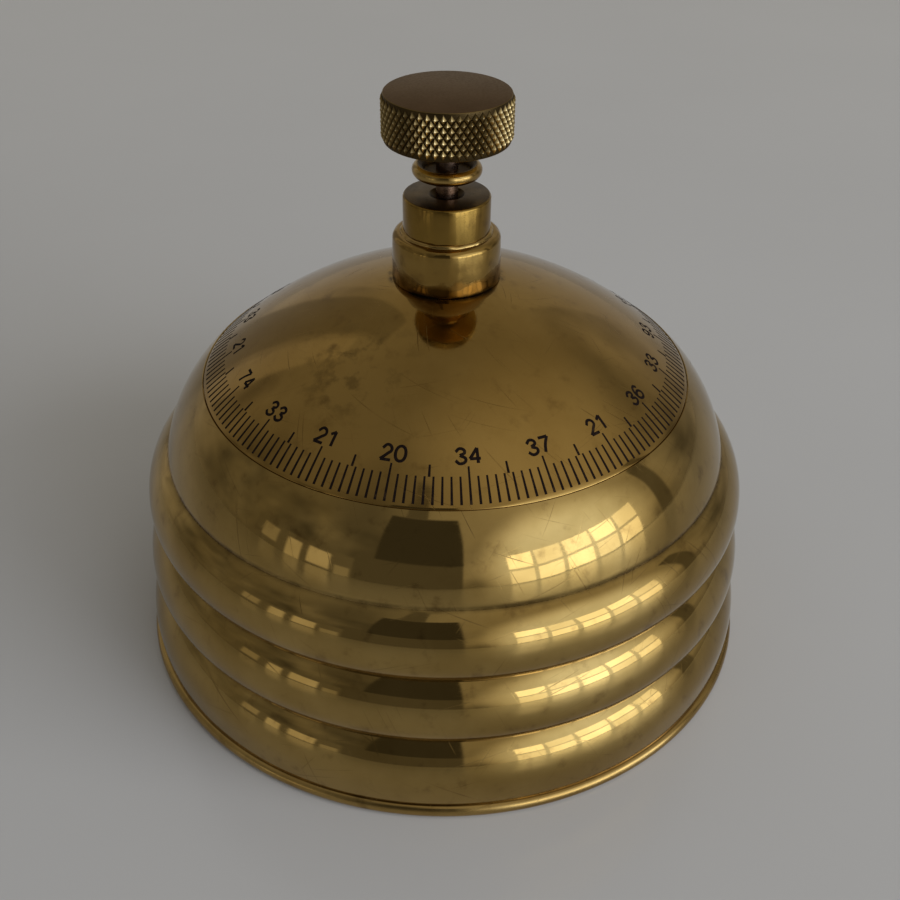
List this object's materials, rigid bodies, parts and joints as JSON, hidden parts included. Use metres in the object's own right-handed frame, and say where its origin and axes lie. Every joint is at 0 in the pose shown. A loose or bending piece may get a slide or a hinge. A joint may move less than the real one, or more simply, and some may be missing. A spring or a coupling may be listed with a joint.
{
  "type": "ribbed domed paperweight with a graduated turning dial and a clamp knob",
  "caption": "Solid ribbed round weight of polished brass, with a graduated domed dial that turns on an inner pillar and a knurled screw knob on top that clamps it",
  "frame": {"origin": "centre of the foot's underside, on the axis", "axes": "+Z is the turned axis, pointing up from the foot to the knob; -Y is the side seen in the picture"},
  "size_m": [0.1, 0.1, 0.0893],
  "materials": {
    "polished_brass": "polished brass with a light olive patina and fine scratches",
    "old_brass": "turned brass, polished long ago and toned",
    "dark_brass": "satin brown-toned brass",
    "bronze": "turned bronze, pinkish brown",
    "iron": "rough grey casting",
    "steel": "turned steel, lightly oiled",
    "lead": "dull pressed lead",
    "felt": "dense dark green felt"
  },
  "bodies": {
    "base": {"base_plate": "old_brass", "base_screws": "steel", "ribbed_body": "polished_brass", "dust_ring": "felt", "ballast": "iron", "ballast_washer": "steel", "ballast_nut": "steel", "adjusting_plug": "old_brass", "seal_disc": "lead", "pillar": "old_brass", "pillar_screw": "steel", "pillar_washer": "steel", "thrust_washer": "bronze"},
    "dial": {"dial_cap": "polished_brass", "dial_hub": "old_brass", "retaining_ring": "old_brass", "collar": "old_brass", "gland_sleeve": "old_brass", "gland_packing": "felt"},
    "pad": {"clamp_pad": "bronze"},
    "screw": {"spindle": "bronze", "stop_ring": "old_brass", "knob": "dark_brass"}
  },
  "joints": [
    {"name": "dial_turn", "type": "hinge", "parent": "base", "child": "dial", "pos_m": [0, 0, 0.044], "axis": [0, 0, 1], "continuous": true},
    {"name": "screw_lift", "type": "slide", "parent": "dial", "child": "pad", "axis": [0, 0, 1], "range_m": [-0.0022, 0.0033]},
    {"name": "knob_turn", "type": "hinge", "parent": "pad", "child": "screw", "pos_m": [0, 0, 0.0862], "axis": [0, 0, 1], "range_deg": [-1440, 2160]}
  ],
  "couplings": [
    {"joint": "screw_lift", "follows": "knob_turn", "m_per_rad": 0.000079577}
  ]
}
